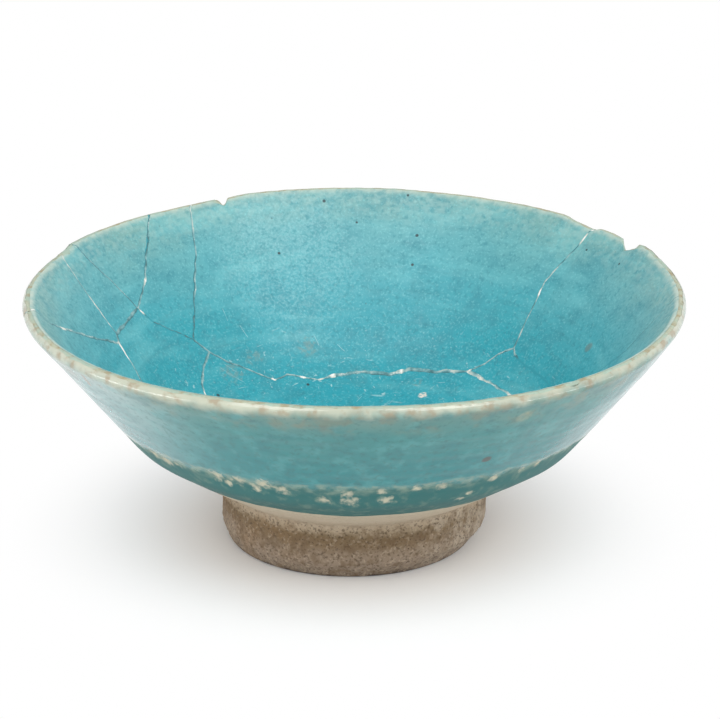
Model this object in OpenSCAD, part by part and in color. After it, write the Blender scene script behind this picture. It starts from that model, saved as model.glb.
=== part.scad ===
// Glazed bowl: a flaring stonepaste bowl on a turned foot ring, with a turquoise glaze inside and out.
// The lip, the underside and the foot are bare. The bowl was broken and mended, so it is ten sherds,
// each with its own coats of glaze, held together by lines of adhesive.
// Millimetres, +Z up. The origin is on the axis, in the plane that the foot stands on.

/* [Bowl] */
// Outside diameter over the lip
rim_d = 180; // [165:1:220]
// Height of the lip over the table
height = 71; // [62:0.5:90]
// Thickness of the rounded lip
lip_t = 3.5; // [2.5:0.1:4.5]
// Distance in from the rim to the carination, the faint edge low on the outside of the wall
carination_in = 20; // [16:0.5:24]
// Distance down from the lip to the carination
carination_drop = 28.5; // [24:0.5:32]
// Thickness of the wall at the carination
wall_t = 5; // [4:0.1:6.5]
// Height of the inside floor over the table
floor_h = 22.5; // [20:0.5:27]
// Rounding radius between the inside floor and the wall
floor_round = 35; // [15:1:40]
// Thickness at the heel, where the wall turns in to the underside
heel_t = 5.5; // [4:0.1:7]
// Angle below level at which the heel lies, seen from the centre of the floor's rounding
heel_turn = 39; // [34:1:44]
// Rounding radius of the heel
heel_round = 18; // [6:1:24]
// Thickness of the underside near the foot
under_t = 3.7; // [3:0.1:5]
// Angle below level at which that thickness is measured, from the same centre
under_turn = 65; // [60:1:70]

/* [Foot] */
// Outside diameter of the foot ring
foot_d = 73; // [64:1:80]
// Height at which the foot ring meets the underside
foot_h = 16; // [13:0.5:19]
// Width of the bevel round the bottom of the foot
foot_bevel_w = 3; // [1:0.5:5]
// Height of the bevel round the bottom of the foot
foot_bevel_h = 5; // [1:0.5:8]
// Width of the face that the foot stands on
standing_w = 8; // [5:0.5:12]
// Depth of the hollow under the foot
hollow_depth = 11; // [6:0.5:13]
// Amount by which the hollow's wall leans in
hollow_lean = 1.5; // [0:0.1:4]

/* [Glaze] */
// Thickness of the glaze
glaze_t = 0.45; // [0.2:0.05:0.8]
// Height of the bare strip at the lip
lip_bare = 3.2; // [2.9:0.1:6]
// Distance in from the heel at which the outer glaze stops on the underside
glaze_edge_in = 8.5; // [6:0.5:11]

/* [Mends] */
// Width of the adhesive in the breaks
glue_w = 0.5; // [0.3:0.1:1]
// Largest turn about the axis between two points of a break, in degrees
break_step = 9; // [5:1:15]

/* [Hidden] */
$fn = 96;

body_colour = [0.80, 0.74, 0.64];
inner_colour = [0.25, 0.64, 0.70];
outer_colour = [0.30, 0.60, 0.60];
glue_colour = [0.72, 0.72, 0.68];

rim_r = rim_d / 2;
foot_r = foot_d / 2;
standing_r = foot_r - foot_bevel_w;
lip_r = lip_t / 2;
glaze_top = height - lip_bare;

// Steps of a round stretch: the heel and the inside floor
heel_steps = 5;
floor_steps = 9;

// Centre of the lip's rounding, and two corners of the outside
lip_centre = [rim_r - lip_r, height - lip_r];
carination = [rim_r - carination_in, height - carination_drop];
foot_top = [foot_r, foot_h];

// Slopes of the wall: both faces are tangent to the lip, and the inner one keeps wall_t from the carination
wall_rise = lip_centre - carination;
wall_turn = atan2(wall_rise.y, wall_rise.x);
outer_slope = wall_turn - asin(lip_r / norm(wall_rise));
inner_slope = wall_turn - asin((wall_t - lip_r) / norm(wall_rise));

function along(slope) = [cos(slope), sin(slope)];
function into(slope) = [-sin(slope), cos(slope)];
function unit(v) = v / norm(v);
function cross2(a, b) = a.x * b.y - a.y * b.x;
function slope_of(a, b) = atan2(b.y - a.y, b.x - a.x);
function meet(p, u, q, v) = p + u * cross2(q - p, v) / cross2(u, v);
function turned(v, a) = [v.x * cos(a) - v.y * sin(a), v.x * sin(a) + v.y * cos(a)];

// Arc that rounds the corner b between a and c, kept within its two sides
function fillet(a, b, c, radius, steps) =
    let (u = unit(a - b), v = unit(c - b), half = acos(u * v) / 2,
         side = min(radius / tan(half), norm(a - b) / 2, norm(c - b) / 2),
         centre = b + unit(u + v) * side / cos(half),
         from = b + u * side - centre, to = b + v * side - centre,
         sweep = atan2(cross2(from, to), from * to))
    [for (i = [0:steps]) centre + turned(from, sweep * i / steps)];

// Inside face, sunk by depth into the body: a point on its wall line, its radius at a height, its corner
function inner_point(depth) = carination + into(inner_slope) * (wall_t - depth);
function inner_radius(z, depth) = inner_point(depth).x + (z - inner_point(depth).y) / tan(inner_slope);
function inner_corner(depth) = [inner_radius(floor_h - depth, depth), floor_h - depth];
function inner_face(depth) = concat(
    [[0, floor_h - depth]],
    fillet([0, floor_h - depth], inner_corner(depth), [inner_radius(glaze_top, depth), glaze_top],
           floor_round + depth, floor_steps),
    [[inner_radius(glaze_top, depth), glaze_top]]);

// Corners of the outside that keep their thickness below the rounding of the floor
floor_centre = inner_corner(0) + floor_round * [-tan(inner_slope / 2), 1];
heel = floor_centre + (floor_round + heel_t) * along(-heel_turn);
under_corner = floor_centre + (floor_round + under_t) * along(-under_turn);

// Outside face, sunk by depth into the body: the wall, the band below the carination and the underside
under_slope = slope_of(under_corner, heel);
band_slope = slope_of(heel, carination);
glaze_edge_r = heel.x - glaze_edge_in;
function outer_radius(z, depth) =
    let (p = carination + into(outer_slope) * depth) p.x + (z - p.y) / tan(outer_slope);
function under_height(r, depth) =
    let (p = heel + into(under_slope) * depth) p.y + (r - p.x) * tan(under_slope);
function sunk_carination(depth) = meet(carination + into(outer_slope) * depth, along(outer_slope),
                                       carination + into(band_slope) * depth, along(band_slope));
function sunk_heel(depth) = meet(heel + into(band_slope) * depth, along(band_slope),
                                 heel + into(under_slope) * depth, along(under_slope));
function outer_face(depth) = concat(
    [[outer_radius(glaze_top, depth), glaze_top], sunk_carination(depth)],
    fillet(sunk_carination(depth), sunk_heel(depth), [glaze_edge_r, under_height(glaze_edge_r, depth)],
           heel_round - depth, heel_steps),
    [[glaze_edge_r, under_height(glaze_edge_r, depth)]]);

// Round of the lip from the inner wall over its top and its outermost point to the outer wall
lip_turns = [90 + inner_slope, 90 + inner_slope / 2, 90, 60, 30, 0, (outer_slope - 90) / 2, outer_slope - 90];
lip_face = [for (a = lip_turns) lip_centre + lip_r * along(a)];

// Bare underside and foot, from the glaze's edge round the standing face and the hollow to the axis
foot_face = [
    [glaze_edge_r, under_height(glaze_edge_r, 0)],
    under_corner,
    foot_top,
    [foot_r, foot_bevel_h],
    [standing_r, 0],
    [standing_r - standing_w, 0],
    [standing_r - standing_w - hollow_lean, hollow_depth],
    [0, hollow_depth]
];

function backwards(list) = [for (i = [len(list) - 1:-1:0]) list[i]];
function but_last(list) = [for (i = [0:len(list) - 2]) list[i]];
body_profile = concat(inner_face(glaze_t), lip_face, outer_face(glaze_t), foot_face);
whole_profile = concat(inner_face(0), lip_face, but_last(outer_face(0)), foot_face);
inner_glaze_profile = concat(inner_face(0), backwards(inner_face(glaze_t)));
outer_glaze_profile = concat(outer_face(0), backwards(outer_face(glaze_t)));

// Breaks, seen from above. Each point is an angle about the axis, where -90 faces the viewer, and a share
// of the way out from the foot ring (0) past the lower edge of the outer glaze (edge_share) to the rim (1).
edge_share = 0.31;
past_rim = 1.06;
left_junction = [149, 0.65];
ring_left_end = [138, 0.47];
ring_corner = [135, 0.41];
slant_foot = [162, 0.62];
side_foot = [164, 0.59];
ring_right = [52, 0.30];
right_junction = [41, 0.44];
right_meeting = [2, 0.40];
base_right_end = [-8, 0.27];
base_left_end = [171, 0.22];
full_turn = [360, 0];

break_a = [[130, past_rim], [136, 0.86], [142, 0.73], [147, 0.67], left_junction];
break_b = [[122, past_rim], [124, 0.89], [126, 0.77], [130, 0.65], [134, 0.55], ring_left_end];
break_c = [[158.5, past_rim], [160, 0.88], [161, 0.76], slant_foot];
break_d = [[155, past_rim], [153.5, 0.88], [151, 0.77], left_junction];
break_e = [[191, past_rim], [187, 0.87], [182, 0.79], [174, 0.69], side_foot];
break_f = [[38, past_rim], [40, 0.88], [43, 0.71], [42, 0.54], right_junction];
break_g = [[-3, past_rim], [-3, 0.82], [-4, 0.70], [0, 0.58], right_meeting];
ring_left = [left_junction, [147, 0.58], [143, 0.53], ring_left_end];
ring_step = [ring_left_end, ring_corner];
ring_back = [ring_corner, [131, 0.36], [125, 0.30], [118, 0.22], [113, 0.24], [103, 0.19], [97, 0.21],
             [86, 0.23], [78, 0.22], [72, 0.26], [62, 0.27], ring_right];
ring_end = [ring_right, [48, 0.35], [45, 0.40], right_junction];
base_right = [ring_right, [47, 0.29], [40, 0.28], [28, 0.27], [10, 0.26], base_right_end];
base_front = [base_right_end, [-25, 0.24], [-55, 0.22], [-90, 0.21], [-125, 0.22], [-160, 0.22],
              base_left_end - full_turn];
base_left = [base_left_end, [158, 0.22], [147, 0.25], [144, 0.31], [140, 0.36], ring_corner];
left_short = [left_junction, [155, 0.63], slant_foot];
left_step = [slant_foot, side_foot];
left_low = [side_foot, [166, 0.50], [168, 0.44], [170, 0.33], base_left_end];
right_low = [right_junction, [38, 0.41], [33, 0.40], [18, 0.39], right_meeting];
right_end = [right_meeting, [-3, 0.33], base_right_end];

// A break in the plane, with points added so that no step turns more than break_step about the axis
function reach(share) = share < edge_share
    ? foot_r + (glaze_edge_r - foot_r) * share / edge_share
    : glaze_edge_r + (rim_r - glaze_edge_r) * (share - edge_share) / (1 - edge_share);
function plan(line) = concat(
    [for (i = [0:len(line) - 2])
        let (n = max(1, ceil(abs(line[i + 1][0] - line[i][0]) / break_step)))
        for (k = [0:n - 1])
            let (p = line[i] + (line[i + 1] - line[i]) * k / n) reach(p[1]) * along(p[0])],
    [reach(line[len(line) - 1][1]) * along(line[len(line) - 1][0])]);
function rim_line(from, to) = [from[0], to[0]];
function loop(lines) = [for (line = lines) let (p = plan(line)) for (i = [0:len(p) - 2]) p[i]];
function path(lines) = let (last = plan(lines[len(lines) - 1])) concat(loop(lines), [last[len(last) - 1]]);

// Ribbon of adhesive along a break: the line shifted to each side by half its width, with mitred corners
function side_step(p, i) =
    let (u = unit(p[min(i + 1, len(p) - 1)] - p[min(i, len(p) - 2)]),
         v = unit(p[max(i, 1)] - p[max(i - 1, 0)]), w = unit(u + v))
    [-w.y, w.x] * glue_w / 2 / (w * u);
function ribbon(p) = concat([for (i = [0:len(p) - 1]) p[i] + side_step(p, i)],
                            [for (i = [len(p) - 1:-1:0]) p[i] - side_step(p, i)]);
module seams(paths) {
    for (p = paths)
        polygon(ribbon(p));
}

// Paths of adhesive. The ring runs below the wall sherds from the left round the back to the right, the
// base line closes the circle at the front, and every other path ends on the ring.
ring_path = path([backwards(left_low), backwards(left_step), backwards(left_short), ring_left, ring_step,
                  ring_back, ring_end, right_low, right_end]);
base_path = path([backwards(base_left), backwards(base_front), backwards(base_right)]);
path_a = plan(break_a);
path_b = plan(break_b);
path_c = plan(break_c);
path_d = plan(break_d);
path_e = plan(break_e);
path_f = plan(break_f);
path_g = plan(break_g);

// Each sherd: the lines that its outline runs along, and the paths of adhesive that it ends at
back_wall = [[backwards(break_b), rim_line(break_b, break_f), break_f, backwards(ring_end),
              backwards(ring_back), backwards(ring_step)], [ring_path, path_b, path_f]];
back_left = [[backwards(break_a), rim_line(break_a, break_b), break_b, backwards(ring_left)],
             [ring_path, path_a, path_b]];
left_upper = [[backwards(break_d), rim_line(break_d, break_a), break_a], [ring_path, path_d, path_a]];
left_narrow = [[backwards(break_c), rim_line(break_c, break_d), break_d, left_short],
               [ring_path, path_c, path_d]];
left_side = [[backwards(break_e), rim_line(break_e, break_c), break_c, left_step],
             [ring_path, path_e, path_c]];
front_wall = [[break_e, left_low, backwards(base_front), backwards(right_end), backwards(break_g),
               [break_g[0], break_e[0] - full_turn]], [ring_path, base_path, path_e, path_g]];
right_wall = [[backwards(break_g), rim_line(break_g, break_f), break_f, right_low],
              [ring_path, path_g, path_f]];
lower_left = [[left_short, left_step, left_low, base_left, backwards(ring_step), backwards(ring_left)],
              [ring_path, base_path]];
lower_right = [[ring_end, right_low, right_end, backwards(base_right)], [ring_path, base_path]];
base_foot = [[ring_back, base_right, base_front, base_left], [ring_path, base_path]];

// Chips in the lip: angle about the axis, length along the lip, depth
rim_chips = [[29, 10, 2.2], [43, 7, 1.2], [115.5, 5, 0.8], [156.8, 3.6, 0.8], [-49.5, 6, 1]];

module chips() {
    for (chip = rim_chips)
        let (bite = (pow(chip[1] / 2, 2) + pow(chip[2], 2)) / (2 * chip[2]))
        rotate(chip[0])
            translate([lip_centre.x, 0, height + bite - chip[2]])
                sphere(bite);
}

// Part of a turned profile that lies within a sherd, clear of the adhesive along its breaks
module cut_out(profile, piece) {
    intersection() {
        rotate_extrude() polygon(profile);
        linear_extrude(height)
            difference() {
                polygon(loop(piece[0]));
                seams(piece[1]);
            }
    }
}
module sherd(piece) {
    color(body_colour)
        difference() {
            cut_out(body_profile, piece);
            chips();
        }
}
module inner_glaze(piece) {
    color(inner_colour) cut_out(inner_glaze_profile, piece);
}
module outer_glaze(piece) {
    color(outer_colour) cut_out(outer_glaze_profile, piece);
}

// Adhesive along a path, through the body and both glazes, up to the paths that it ends at
module glue(own, others) {
    color(glue_colour)
        difference() {
            intersection() {
                rotate_extrude() polygon(whole_profile);
                linear_extrude(height)
                    difference() {
                        seams([own]);
                        seams(others);
                    }
            }
            chips();
        }
}
module back_wall_sherd() sherd(back_wall);
module back_left_sherd() sherd(back_left);
module left_upper_sherd() sherd(left_upper);
module left_narrow_sherd() sherd(left_narrow);
module left_side_sherd() sherd(left_side);
module front_wall_sherd() sherd(front_wall);
module right_wall_sherd() sherd(right_wall);
module lower_left_sherd() sherd(lower_left);
module lower_right_sherd() sherd(lower_right);
module base_foot_sherd() sherd(base_foot);
module back_wall_inner_glaze() inner_glaze(back_wall);
module back_left_inner_glaze() inner_glaze(back_left);
module left_upper_inner_glaze() inner_glaze(left_upper);
module left_narrow_inner_glaze() inner_glaze(left_narrow);
module left_side_inner_glaze() inner_glaze(left_side);
module front_wall_inner_glaze() inner_glaze(front_wall);
module right_wall_inner_glaze() inner_glaze(right_wall);
module lower_left_inner_glaze() inner_glaze(lower_left);
module lower_right_inner_glaze() inner_glaze(lower_right);
module base_foot_inner_glaze() inner_glaze(base_foot);
module back_wall_outer_glaze() outer_glaze(back_wall);
module back_left_outer_glaze() outer_glaze(back_left);
module left_upper_outer_glaze() outer_glaze(left_upper);
module left_narrow_outer_glaze() outer_glaze(left_narrow);
module left_side_outer_glaze() outer_glaze(left_side);
module front_wall_outer_glaze() outer_glaze(front_wall);
module right_wall_outer_glaze() outer_glaze(right_wall);
module lower_left_outer_glaze() outer_glaze(lower_left);
module lower_right_outer_glaze() outer_glaze(lower_right);
module base_foot_outer_glaze() outer_glaze(base_foot);
module ring_glue() glue(ring_path, []);
module base_glue() glue(base_path, [ring_path]);
module break_a_glue() glue(path_a, [ring_path]);
module break_b_glue() glue(path_b, [ring_path]);
module break_c_glue() glue(path_c, [ring_path]);
module break_d_glue() glue(path_d, [ring_path, path_a]);
module break_e_glue() glue(path_e, [ring_path]);
module break_f_glue() glue(path_f, [ring_path]);
module break_g_glue() glue(path_g, [ring_path]);

back_wall_sherd();
back_left_sherd();
left_upper_sherd();
left_narrow_sherd();
left_side_sherd();
front_wall_sherd();
right_wall_sherd();
lower_left_sherd();
lower_right_sherd();
base_foot_sherd();
back_wall_inner_glaze();
back_left_inner_glaze();
left_upper_inner_glaze();
left_narrow_inner_glaze();
left_side_inner_glaze();
front_wall_inner_glaze();
right_wall_inner_glaze();
lower_left_inner_glaze();
lower_right_inner_glaze();
base_foot_inner_glaze();
back_wall_outer_glaze();
back_left_outer_glaze();
left_upper_outer_glaze();
left_narrow_outer_glaze();
left_side_outer_glaze();
front_wall_outer_glaze();
right_wall_outer_glaze();
lower_left_outer_glaze();
lower_right_outer_glaze();
base_foot_outer_glaze();
ring_glue();
base_glue();
break_a_glue();
break_b_glue();
break_c_glue();
break_d_glue();
break_e_glue();
break_f_glue();
break_g_glue();
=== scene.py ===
"""Glazed bowl mended from sherds: the finish of every piece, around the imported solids.

Lengths are in millimetres until a mesh is made. A place on the bowl is an angle about the axis, where -90
faces the viewer, and a reach, which is the distance from the axis as seen from above.
"""
import math
import bpy
import numpy as np
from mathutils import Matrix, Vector
from mathutils.geometry import delaunay_2d_cdt


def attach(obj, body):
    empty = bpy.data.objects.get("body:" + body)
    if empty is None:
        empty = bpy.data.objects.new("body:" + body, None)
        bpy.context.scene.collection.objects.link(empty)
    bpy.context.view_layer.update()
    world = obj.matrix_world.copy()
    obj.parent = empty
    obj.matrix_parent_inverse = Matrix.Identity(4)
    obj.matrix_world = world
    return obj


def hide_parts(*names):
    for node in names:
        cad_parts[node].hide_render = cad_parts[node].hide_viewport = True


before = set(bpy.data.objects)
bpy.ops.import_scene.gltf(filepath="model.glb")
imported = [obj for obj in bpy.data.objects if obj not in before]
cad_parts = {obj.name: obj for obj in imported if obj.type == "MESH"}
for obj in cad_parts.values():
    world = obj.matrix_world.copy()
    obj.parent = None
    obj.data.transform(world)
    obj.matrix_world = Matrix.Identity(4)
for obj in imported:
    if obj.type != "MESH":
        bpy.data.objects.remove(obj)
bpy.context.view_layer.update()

MM = 0.001

# Sizes of the bowl, as in the part's source
RIM_R = 90
HEIGHT = 71
LIP_R = 1.75
CARINATION = np.array([70, 42.5])
WALL_T = 5
FLOOR_H = 22.5
FLOOR_ROUND = 35
HEEL_T = 5.5
HEEL_TURN = 39
HEEL_ROUND = 18
UNDER_T = 3.7
UNDER_TURN = 65
FOOT_R = 36.5
FOOT_H = 16
FOOT_BEVEL_W = 3
FOOT_BEVEL_H = 5
STANDING_W = 8
HOLLOW_DEPTH = 11
HOLLOW_LEAN = 1.5
GLAZE_T = 0.45
GLAZE_EDGE_IN = 8.5
EDGE_SHARE = 0.31

# Width of the breaks, a little less than in the part's source
GLUE_W = 0.4

# Spacing of mesh points: along edges, on fine detail, on other surfaces that show, and under another piece
EDGE_STEP = 0.7
FINE_STEP = 0.6
SHOWN_STEP = 1.0
HIDDEN_STEP = 4.0

# Waves in an irregular variation, points along the lines of the profile, and points handled at a time
WAVES = 14
ROUND_POINTS = 13
LIP_POINTS = 25
FACE_POINTS = 1200
CHUNK = 4000

# The lip's top has one reach on both faces, a little past the rim, so that reach grows steadily up to it
TOP_REACH = RIM_R + 0.5


def along(degrees):
    return np.array([math.cos(math.radians(degrees)), math.sin(math.radians(degrees))])


def smooth(low, high, x):
    t = np.clip((x - low) / (high - low), 0, 1)
    return t * t * (3 - 2 * t)


def unit(vectors):
    return vectors / np.linalg.norm(vectors, axis=1, keepdims=True)


def left_of(tangent):
    return np.stack([-tangent[:, 1], tangent[:, 0]], 1)


def flat_points(theta, distance):
    return np.stack([distance * np.cos(theta), distance * np.sin(theta)], 1)


def ripple(points, size, seed):
    """Smooth irregular variation of about -1 to 1 over points, with bumps of about the given size."""
    rng = np.random.default_rng(seed)
    points = np.asarray(points, float).reshape(len(points), -1)
    direction = unit(rng.normal(size=(WAVES, points.shape[1])))
    turn = direction * (math.pi / size * rng.uniform(0.6, 1.5, (WAVES, 1)))
    phase = rng.uniform(0, 2 * math.pi, WAVES)
    return np.sin(points @ turn.T + phase).sum(1) / math.sqrt(2 * WAVES)


# Profile of the bowl: both faces from the axis to the top of the lip

LIP_CENTRE = np.array([RIM_R - LIP_R, HEIGHT - LIP_R])
wall_rise = LIP_CENTRE - CARINATION
wall_turn = math.degrees(math.atan2(wall_rise[1], wall_rise[0]))
OUTER_SLOPE = wall_turn - math.degrees(math.asin(LIP_R / np.linalg.norm(wall_rise)))
INNER_SLOPE = wall_turn - math.degrees(math.asin((WALL_T - LIP_R) / np.linalg.norm(wall_rise)))
inner_point = CARINATION + WALL_T * along(INNER_SLOPE + 90)
inner_corner = inner_point - along(INNER_SLOPE) * (inner_point[1] - FLOOR_H) / along(INNER_SLOPE)[1]
floor_centre = inner_corner + FLOOR_ROUND * np.array([-math.tan(math.radians(INNER_SLOPE / 2)), 1])
HEEL = floor_centre + (FLOOR_ROUND + HEEL_T) * along(-HEEL_TURN)
UNDER_CORNER = floor_centre + (FLOOR_ROUND + UNDER_T) * along(-UNDER_TURN)
GLAZE_EDGE_R = HEEL[0] - GLAZE_EDGE_IN
STANDING_R = FOOT_R - FOOT_BEVEL_W
HOLLOW_R = STANDING_R - STANDING_W


def rounded(corners):
    """Line through corners given as (distance from the axis, height, rounding radius)."""
    points = [np.array(c[:2], float) for c in corners]
    line = [points[0]]
    for a, b, c, corner in zip(points, points[1:], points[2:], corners[1:]):
        u = (a - b) / np.linalg.norm(a - b)
        v = (c - b) / np.linalg.norm(c - b)
        half = math.acos(np.clip(u @ v, -1, 1)) / 2
        side = corner[2] / math.tan(half)
        steps = np.linspace(0, 1, ROUND_POINTS)[:, None]
        chord = b + side * (u + (v - u) * steps)
        centre = b + (u + v) / np.linalg.norm(u + v) * side / math.cos(half)
        out = chord - centre
        if corner[2]:
            line.extend(centre + corner[2] * out / np.linalg.norm(out, axis=1, keepdims=True))
        else:
            line.append(b)
    return np.array(line + [points[-1]])


def lip_arc(start, stop):
    turns = np.linspace(start, stop, LIP_POINTS)
    return np.array([LIP_CENTRE + LIP_R * along(t) for t in turns])


# Depth of the finger rings from throwing and of the slow unevenness of the wall
RING_DEPTH = 0.02
UNEVEN_DEPTH = 0.12


class Face:
    """One face of the bowl: its line from the axis to the top of the lip, by length along that line."""

    def __init__(self, line, out, lip_from, foot_until):
        length = np.concatenate([[0], np.cumsum(np.linalg.norm(np.diff(line, axis=0), axis=1))])
        self.s = np.linspace(0, length[-1], FACE_POINTS)
        self.r = np.interp(self.s, length, line[:, 0])
        self.z = np.interp(self.s, length, line[:, 1])
        tangent = unit(np.stack([np.gradient(self.r, self.s), np.gradient(self.z, self.s)], 1))
        self.out_r = -out * tangent[:, 1]
        self.out_z = out * tangent[:, 0]
        on_lip = self.s > lip_from
        on_foot = self.s < foot_until
        share_of_lip = (self.s - lip_from) / (self.s[-1] - lip_from)
        lip_r = np.interp(lip_from, self.s, self.r)
        self.reach = np.where(on_lip, lip_r + (TOP_REACH - lip_r) * share_of_lip, self.r)
        self.reach = np.where(on_foot, FOOT_R * self.s / max(foot_until, 1), self.reach)

    def length_at(self, reach):
        return np.interp(reach, self.reach, self.s)

    def reach_at(self, s):
        return np.interp(s, self.s, self.reach)

    def place(self, theta, s, lift):
        """Points on the face, or raised from it by lift, with the bowl's own irregularities."""
        lift = lift + self.marks(theta, s)
        r = np.interp(s, self.s, self.r) + lift * np.interp(s, self.s, self.out_r)
        z = np.interp(s, self.s, self.z) + lift * np.interp(s, self.s, self.out_z)
        points = worn_rim(theta, r, z)
        return leaning(points) if self is outside else points

    def marks(self, theta, s):
        """Finger rings and unevenness, which fade out towards the lip and, outside, the foot."""
        flat = flat_points(theta, s)
        rings = np.sin(s * 1.5 + 0.4 * np.sin(theta)) + 0.6 * np.sin(s * 0.83 + np.cos(theta))
        fade = 1 - smooth(self.s[-1] - 9, self.s[-1] - 3, s)
        if self is outside:
            fade = fade * smooth(self.length_at(FOOT_R + 4), self.length_at(FOOT_R + 14), s)
        return fade * (RING_DEPTH * rings * (1 + ripple(flat, 30, 6)) + UNEVEN_DEPTH * ripple(flat, 16, 5))


def face_inside():
    lip = lip_arc(90 + INNER_SLOPE, 90)
    wall = rounded([(0, FLOOR_H, 0), (*inner_corner, FLOOR_ROUND), (*lip[0], 0)])
    line = np.concatenate([wall, lip[1:]])
    lip_from = np.linalg.norm(np.diff(wall, axis=0), axis=1).sum()
    return Face(line, 1, lip_from, 0)


def face_outside():
    foot = [(0, HOLLOW_DEPTH, 0), (HOLLOW_R - HOLLOW_LEAN, HOLLOW_DEPTH, 1.5), (HOLLOW_R, 0, 0.8),
            (STANDING_R, 0, 1.2), (FOOT_R, FOOT_BEVEL_H, 3), (FOOT_R, FOOT_H, 1.5)]
    lip = lip_arc(OUTER_SLOPE - 90, 90)
    wall = [(*UNDER_CORNER, 0), (*HEEL, HEEL_ROUND), (*CARINATION, 3), (*lip[0], 0)]
    below = rounded(foot + wall)
    line = np.concatenate([below, lip[1:]])
    steps = np.linalg.norm(np.diff(below, axis=0), axis=1)
    foot_until = steps[: np.argmax(below[:, 0] > FOOT_R)].sum()
    return Face(line, -1, steps.sum(), foot_until)


# Irregular rim, by angle: how far it lies below its highest point, and the depth of the chips in it

RIM_DROPS = [
    (-150, 1.3), (-130, 0.9), (-110, 0.3), (-85, 0.2), (-60, 1.0), (-35, 1.3), (-10, 0.9), (14, 0.8),
    (18, 0.6), (21, 0.0), (23.5, 0.0), (28.5, 1.2), (30.5, 1.3), (34, 1.1), (37.4, 1.2), (38.4, 1.8),
    (39.5, 2.0), (41, 1.9), (42, 1.7), (44, 1.5), (45, 1.2), (46, 0.6), (47, 0.5), (50, 0.4), (60, 0.5),
    (75, 0.4), (83, 0.1), (108, 0.0), (111, 0.05), (113, 0.3), (114.5, 0.5), (118, 0.5), (122, 0.8),
    (128, 0.9), (134, 0.75), (142, 0.65), (150, 0.5), (154.4, 0.5), (155.4, 1.2), (160, 1.6), (165, 1.6),
    (172, 1.3), (180, 1.1),
]
# Each chip starts with how its ends turn with the distance from the axis, in degrees a millimetre
RIM_CHIPS = [
    (0.9, [(22.8, 0), (24.5, 0.9), (26.9, 1.75), (28.3, 2.2), (28.6, 0)]),
    (-0.3, [(115.2, 0), (115.9, 1.2), (116.2, 1.4), (117, 0.7), (118, 0.2), (118.6, 0)]),
    (0.9, [(155.9, 0), (156.5, 0.3), (157.4, 0.4), (158, 0)]),
    (-0.5, [(-51, 0), (-50, 0.35), (-48.8, 0.3), (-47.4, 0)]),
]
# A chip falls away to the outside, most where it is deep, and starts this far inside the lip
CHIP_FALL = 0.75
CHIP_REACH = 4
# The rim is low and worn in from these distances from the axis outwards, and is worn by this much
DROP_FROM = 58
WEAR_FROM = 80
RIM_WEAR = 0.08


def by_angle(theta, table):
    """Value at each angle from a table of (degrees, value) pairs that runs round the bowl."""
    angles = np.radians([a for a, _ in table])
    return np.interp(theta, angles, [v for _, v in table], period=2 * math.pi)


def chip_depth(theta, out):
    """Depth of the chips at an angle and a distance out from the inner edge of the lip."""
    depths = [by_angle(theta - math.radians(turn) * out, chip) for turn, chip in RIM_CHIPS]
    return np.max(depths, axis=0)


def chip_fall(depth):
    return CHIP_FALL * smooth(0, 2, depth)


def worn_rim(theta, r, z):
    """Points at an angle, distance and height, moved where the rim is low, worn in or chipped."""
    drop = by_angle(theta, RIM_DROPS)
    ring = flat_points(theta, RIM_R)
    uneven = drop + RIM_WEAR + 0.04 * ripple(ring, 2.5, 4) + 0.03 * ripple(ring, 7, 7)
    z = z - smooth(DROP_FROM, RIM_R, r) * uneven
    r = r - smooth(WEAR_FROM, RIM_R, r) * (RIM_WEAR + 0.03 * ripple(ring, 9, 3))
    flat = flat_points(theta, r)
    inner_edge = LIP_CENTRE[0] - LIP_R
    depth = chip_depth(theta, r - inner_edge)
    break_top = HEIGHT - drop - depth + 0.12 * ripple(flat, 1.3, 11) - chip_fall(depth) * (r - inner_edge)
    z = np.where((depth > 0) & (r > inner_edge - CHIP_REACH), np.minimum(z, break_top), z)
    return np.stack([flat[:, 0], flat[:, 1], z], 1)


# The bottom of the foot is cut off centre to the left, up to a height
FOOT_SHIFT = 1.1
FOOT_SHIFT_TOP = 7
# The body above it tilts up on the left, which comes in and goes out between these heights
BODY_TILT = 0.6
TILT_IN = (12, 24)
TILT_OUT = (58, 68)


def leaning(points):
    """Points of the outside, moved as the foot and the body of the real bowl lean."""
    x, y, z = points.T
    body = smooth(*TILT_IN, z) * (1 - smooth(*TILT_OUT, z))
    foot = 1 - smooth(0, FOOT_SHIFT_TOP, z)
    return np.stack([x - FOOT_SHIFT * foot, y, z - BODY_TILT * body * x / CARINATION[0]], 1)


inside = face_inside()
outside = face_outside()

# Breaks, close to those in the part's source: an angle, and a share of the way from foot ring (0) to rim (1)

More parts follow.
